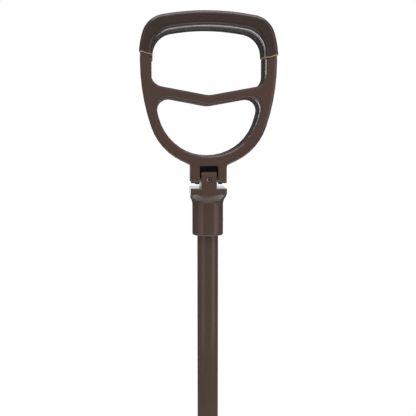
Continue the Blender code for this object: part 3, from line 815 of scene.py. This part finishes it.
    def relief(self, place: Vector, wall: str, depth: float, run: float, in_normal: Vector) -> float:
        """Small rise or fall of the leather at a point.

        Args:
            place: The point in the half's own directions.
            wall: The wall that it is on.
            depth: Its depth behind the pin.
            run: Distance along the inner wall from the left end.
            in_normal: The inner wall's normal at the station.

        Returns:
            Height above the even surface, in metres.
        """
        front_seed, rear_seed = self.uneven_seeds
        seed = Vector((0.0, 0.0, front_seed if self.side is Side.FRONT else rear_seed))
        height = self.unevenness * noise.noise(place / self.uneven_size + seed)
        if wall == "inner":
            bend = 1.0 - abs(abs(atan2(in_normal.x, -in_normal.y)) - pi / 4) / (pi / 4)
            height += self.pucker * max(0.0, bend) * sin(2 * pi * run / self.pucker_pitch)
            near = max(0.0, 1.0 - abs(depth - self.seam_depth) / self.seam_reach)
            height -= self.seam_sink * near * near
        return height

    def bow(self, row: int, wall: str, depth: float) -> float:
        """Lower the leather near its two ends, which were cut slightly bowed by hand.

        Args:
            row: Station along the sleeve.
            wall: The wall that the point is on.
            depth: Its depth behind the pin.

        Returns:
            Height to add, in metres.
        """
        rows_in = min(row, self.stations - 1 - row)
        if rows_in >= self.bow_rows:
            return 0.0
        share = (1 - rows_in / self.bow_rows) ** 2
        middle_depth = self.shape.depth / 2 - self.shape.pin_setback
        bulge = 1 - ((depth - middle_depth) / (self.shape.depth / 2)) ** 2
        return -self.end_bow * share * max(0.0, bulge if wall in ("inner", "outer") else self.bow_on_faces)

    def finish_skin(self, sleeve: bpy.types.Object) -> None:
        """Close the skin into a solid with raw rims, skive its ends, smooth it and dress it.

        Args:
            sleeve: The open skin.
        """
        deselect_all()
        bpy.context.view_layer.objects.active = sleeve
        sleeve.select_set(True)
        bpy.ops.object.mode_set(mode="EDIT")
        bpy.ops.mesh.select_all(action="SELECT")
        if not self.faces_outward(sleeve):
            bpy.ops.mesh.flip_normals()
        bpy.ops.object.mode_set(mode="OBJECT")
        sleeve.data.materials.append(self.finishes.leather)
        sleeve.data.materials.append(self.finishes.raw_edge)
        add_modifier(sleeve, "SOLIDIFY", thickness=self.thickness, offset=-1.0, use_rim=True,
                     material_offset_rim=1, use_even_offset=True)
        apply_modifiers(sleeve)
        self.skive_ends(sleeve)
        bpy.ops.object.shade_smooth_by_angle(angle=self.smooth_angle)

    def skive_ends(self, sleeve: bpy.types.Object) -> None:
        """Draw the outer surface back at both ends, so that the raw cut slopes and shows.

        Args:
            sleeve: The closed skin, its outer surface's points first.
        """
        around = len(self.section())
        vertices = sleeve.data.vertices
        for end_row, next_row in ((0, 1), (self.stations - 1, self.stations - 2)):
            for column in range(around):
                end, inward = vertices[end_row * around + column], vertices[next_row * around + column]
                end.co = end.co.lerp(inward.co, self.skive)

    def faces_outward(self, sleeve: bpy.types.Object) -> bool:
        """Tell whether the face nearest the top of the bow points up.

        Args:
            sleeve: The open skin.

        Returns:
            True if it does.
        """
        sleeve.data.update()
        top = max(sleeve.data.polygons, key=lambda face: face.center.z)
        return top.normal.z > 0

    def stitches(self) -> bpy.types.Object:
        """Sew the seam: slanting stitches at an even pitch along the inner wall, all copies of one.

        Returns:
            One object with all the stitches.
        """
        _, inner = self.walls()
        run = 0.0
        next_at = self.stitch_pitch
        places: list[tuple[Point, Vector]] = []
        for (a, normal), (b, _) in zip(inner, inner[1:]):
            run += (b - a).length
            if run >= next_at:
                places.append(((b, normal), (b - a).normalized()))
                next_at += self.stitch_pitch
        places.pop()  # less than a pitch from the sleeve's end
        shape = self.shape
        seam_lean = (self.seam_depth + shape.pin_setback - shape.face_round) * tan(shape.draft)
        lift = self.surface - self.seam_sink + self.stitch_rise * self.stitch_width - seam_lean
        slant = self.stitch_slant
        deselect_all()
        bpy.ops.mesh.primitive_uv_sphere_add(segments=self.stitch_facets, ring_count=self.stitch_facets,
                                             radius=0.5)
        made = [bpy.context.object]
        while len(made) < len(places):
            bpy.ops.object.duplicate(linked=False)
            made.append(bpy.context.object)
        for stitch, ((point, normal), way) in zip(made, places):
            along = Vector((way.x * slant, sqrt(1 - slant * slant), way.y * slant))
            up = Vector((normal.x, 0.0, normal.y))
            aside = along.cross(up).normalized()
            flat = point + normal * lift
            centre = Vector((flat.x, self.seam_depth, flat.y))
            for vertex in stitch.data.vertices:
                local = vertex.co.copy()
                bend = -self.stitch_bend * self.stitch_width * (2 * local.z) ** 2
                place = centre + along * local.z * self.stitch_length + aside * local.x * self.stitch_width
                place += up * (local.y * self.stitch_width + bend)
                vertex.co = self.to_world(place.x, place.y, place.z)
        deselect_all()
        for stitch in made:
            stitch.select_set(True)
        bpy.context.view_layer.objects.active = made[0]
        bpy.ops.object.join()
        thread = bpy.context.object
        thread.name = thread.data.name = "grip_stitches_" + self.side.value
        bpy.ops.object.mode_set(mode="EDIT")
        bpy.ops.mesh.select_all(action="SELECT")
        bpy.ops.mesh.normals_make_consistent(inside=False)
        bpy.ops.object.mode_set(mode="OBJECT")
        bpy.ops.object.shade_smooth()
        thread.data.materials.append(self.finishes.thread)
        return thread

    def place(self) -> None:
        """Build the sleeve and its stitches, and let them ride on their half."""
        body = self.side.value + "_half"
        sleeve = self.build()
        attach(sleeve, body)
        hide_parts("grip_leather_" + self.side.value)
        thread = self.stitches()
        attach(thread, body)
        log.info("%s and %s ride on %s", sleeve.name, thread.name, body)


@dataclass
class SeatHalf:
    """One cast seat half with its hinge bushes and leather grip."""

    side: Side
    finishes: Finishes

    def place(self) -> None:
        """Dress the half's castings and wrap its grip."""
        name = self.side.value
        Finishes.dress(self.finishes.enamel, "seat_frame_" + name)
        Finishes.dress(self.finishes.nylon, f"hinge_bush_{name}_left", f"hinge_bush_{name}_right")
        Finishes.dress(self.finishes.steel_across, "hinge_pin_" + name)
        low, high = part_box("grub_screw_" + name)
        toward = 1.0 if self.side is Side.FRONT else -1.0
        # the grub screw wears paler enamel and a painted highlight crescent, both painted light
        highlighted_enamel = PaintedHighlightEnamel("stove_enamel_painted_highlight_" + name, (Vector(low) + Vector(high)) / 2, toward)
        Finishes.dress(highlighted_enamel.material(), "grub_screw_" + name)
        GripSleeve(self.side, self.finishes).place()


@dataclass
class Stem:
    """Hinge hub, tube, foot and ferrule."""

    finishes: Finishes

    def place(self) -> None:
        """Dress everything below the hinges."""
        Finishes.dress(self.finishes.enamel, "hinge_hub", "tube", "hub_rivet", "foot_socket", "foot_rivet",
                       "ground_plate")
        Finishes.dress(self.finishes.steel_upright, "plate_washer", "plate_nut", "spike", "ferrule_washer")
        Finishes.dress(self.finishes.rubber, "ferrule")


@dataclass(frozen=True)
class SoftLamp:
    """Rectangular lamp: its centre, its width and height, and its power in watts."""

    name: str
    place: tuple[float, float, float]
    size: tuple[float, float]
    power: float


@dataclass
class Studio:
    """White room with soft lamps, and the camera at the photograph's place."""

    lamps: tuple[SoftLamp, ...] = (
        SoftLamp("left_window", (-1.45, -1.0, 1.0), (0.8, 2.2), 3.0),
        SoftLamp("right_window", (1.5, -1.0, 1.0), (1.3, 2.2), 7.0),
        SoftLamp("top_panel", (0.0, -0.4, 2.1), (1.8, 1.3), 18.0))
    lamp_aim: tuple[float, float, float] = (0.0, 0.0, 0.75)
    camera_place: tuple[float, float, float] = (-0.0447, -0.700, 0.750)
    look_down: float = radians(5.39)
    look_right: float = radians(3.68)
    focal_pixels: float = 657.8
    image_pixels: float = 416.0
    centre_down: float = 6.0           # picture's centre below the camera's axis, in pixels
    sensor: float = 36.0
    clip: tuple[float, float] = (0.01, 50.0)
    room_light: float = 0.64
    glossy_room: float = 0.05          # level of the room beside the backdrop, as glossy surfaces see it
    # the backdrop fades out between these angles from straight behind the object
    backdrop_edge: tuple[float, float] = (radians(10.5), radians(7.0))
    floor_radius: float = 0.95
    floor_sides: int = 96
    floor_tone: str = "F4F4F4"
    floor_drop: float = 0.2 * MM       # the floor lies this far under the ferrule
    floor_fade: tuple[float, float] = (0.30, 0.90)

    def add_camera(self) -> None:
        """Put the camera where the photograph was taken from, turned to frame the handle as there."""
        data = bpy.data.cameras.new("photo_camera")
        camera = bpy.data.objects.new("photo_camera", data)
        bpy.context.scene.collection.objects.link(camera)
        data.sensor_width = self.sensor
        data.lens = self.focal_pixels / self.image_pixels * self.sensor
        data.clip_start, data.clip_end = self.clip
        data.shift_y = -self.centre_down / self.image_pixels
        camera.location = self.camera_place
        camera.rotation_euler = (pi / 2 - self.look_down, 0.0, -self.look_right)
        bpy.context.scene.camera = camera

    def add_lamp(self, plan: SoftLamp) -> None:
        """Add a lamp that faces the handle.

        Args:
            plan: The lamp's name, place, size and power.
        """
        data = bpy.data.lights.new(plan.name, "AREA")
        data.shape = "RECTANGLE"
        data.size, data.size_y = plan.size
        data.energy = plan.power
        lamp = bpy.data.objects.new(plan.name, data)
        bpy.context.scene.collection.objects.link(lamp)
        lamp.location = plan.place
        way = Vector(self.lamp_aim) - Vector(plan.place)
        lamp.rotation_euler = way.to_track_quat("-Z", "Y").to_euler()

    def add_room(self) -> None:
        """Make the surroundings: white to look at, softer as a light.

        Glossy surfaces see a white backdrop behind the object and a dark room beside it, which puts the
        thin bright line on the inner walls and leaves the walls behind it dark.
        """
        world = bpy.data.worlds.new("white_room")
        bpy.context.scene.world = world
        world.use_nodes = True
        tree = world.node_tree
        tree.nodes.clear()
        path = add_node(tree, "ShaderNodeLightPath")
        seen = add_node(tree, "ShaderNodeMath", {"operation": "MAXIMUM"},
                        {0: path.outputs["Is Camera Ray"], 1: path.outputs["Is Transmission Ray"]})
        way = add_node(tree, "ShaderNodeTexCoord").outputs["Generated"]
        parts = add_node(tree, "ShaderNodeSeparateXYZ", links={"Vector": way})
        outer, inner = self.backdrop_edge
        behind = add_node(tree, "ShaderNodeMapRange", {"in:From Min": cos(outer), "in:From Max": cos(inner),
                                                       "in:To Min": self.glossy_room, "in:To Max": 1.0},
                          {"Value": parts.outputs["Y"]})
        mirror = add_node(tree, "ShaderNodeMath", {"operation": "MULTIPLY"},
                          {0: path.outputs["Is Glossy Ray"], 1: behind.outputs["Result"]})
        rest = add_node(tree, "ShaderNodeMath", {"operation": "SUBTRACT", "in:0": 1.0},
                        {1: path.outputs["Is Glossy Ray"]})
        soft = add_node(tree, "ShaderNodeMath", {"operation": "MULTIPLY_ADD", "in:1": self.room_light},
                        {0: rest.outputs["Value"], 2: mirror.outputs["Value"]})
        level = add_node(tree, "ShaderNodeMath", {"operation": "MAXIMUM"},
                         {0: seen.outputs["Value"], 1: soft.outputs["Value"]})
        background = add_node(tree, "ShaderNodeBackground", {"in:Color": (1.0, 1.0, 1.0, 1.0)},
                              {"Strength": level.outputs["Value"]})
        add_node(tree, "ShaderNodeOutputWorld", links={"Surface": background.outputs["Background"]})

    def add_floor(self) -> None:
        """Lay the pale floor, which keeps the stick's shadow and fades to white further out."""
        deselect_all()
        bpy.ops.mesh.primitive_circle_add(vertices=self.floor_sides, radius=self.floor_radius,
                                          fill_type="NGON", location=(0.0, 0.0, -self.floor_drop))
        floor = bpy.context.object
        floor.name = floor.data.name = "studio_floor"
        material = bpy.data.materials.new("pale_floor")
        material.use_nodes = True
        tree = material.node_tree
        tree.nodes.clear()
        place = add_node(tree, "ShaderNodeTexCoord").outputs["Object"]
        distance = add_node(tree, "ShaderNodeVectorMath", {"operation": "LENGTH"}, {0: place})
        near, far_end = self.floor_fade
        far = add_node(tree, "ShaderNodeMapRange", {"in:From Min": near, "in:From Max": far_end,
                                                    "interpolation_type": "SMOOTHSTEP"},
                       {"Value": distance.outputs["Value"]})
        path = add_node(tree, "ShaderNodeLightPath")
        seen = add_node(tree, "ShaderNodeMath", {"operation": "MAXIMUM"},
                        {0: path.outputs["Is Camera Ray"], 1: path.outputs["Is Transmission Ray"]})
        factor = add_node(tree, "ShaderNodeMath", {"operation": "MULTIPLY"},
                          {0: far.outputs["Result"], 1: seen.outputs["Value"]})
        matt = add_node(tree, "ShaderNodeBsdfDiffuse", {"in:Color": linear(self.floor_tone)})
        glow = add_node(tree, "ShaderNodeEmission", {"in:Strength": 1.0})
        mixed = add_node(tree, "ShaderNodeMixShader", links={0: factor.outputs["Value"],
                                                             1: matt.outputs["BSDF"],
                                                             2: glow.outputs["Emission"]})
        add_node(tree, "ShaderNodeOutputMaterial", links={"Surface": mixed.outputs["Shader"]})
        floor.data.materials.append(material)

    def place(self) -> None:
        """Set up the camera, lamps, room and floor."""
        bpy.context.scene.view_settings.view_transform = "Standard"
        self.add_camera()
        self.add_room()
        self.add_floor()
        for plan in self.lamps:
            self.add_lamp(plan)
        log.info("studio and camera are set")


def main() -> None:
    """Build the looks piece by piece."""
    logging.basicConfig(level=logging.INFO, format="%(message)s")
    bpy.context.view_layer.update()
    finishes = Finishes()
    for side in Side:
        SeatHalf(side, finishes).place()
    Stem(finishes).place()
    Studio().place()


if __name__ == "__main__":
    main()
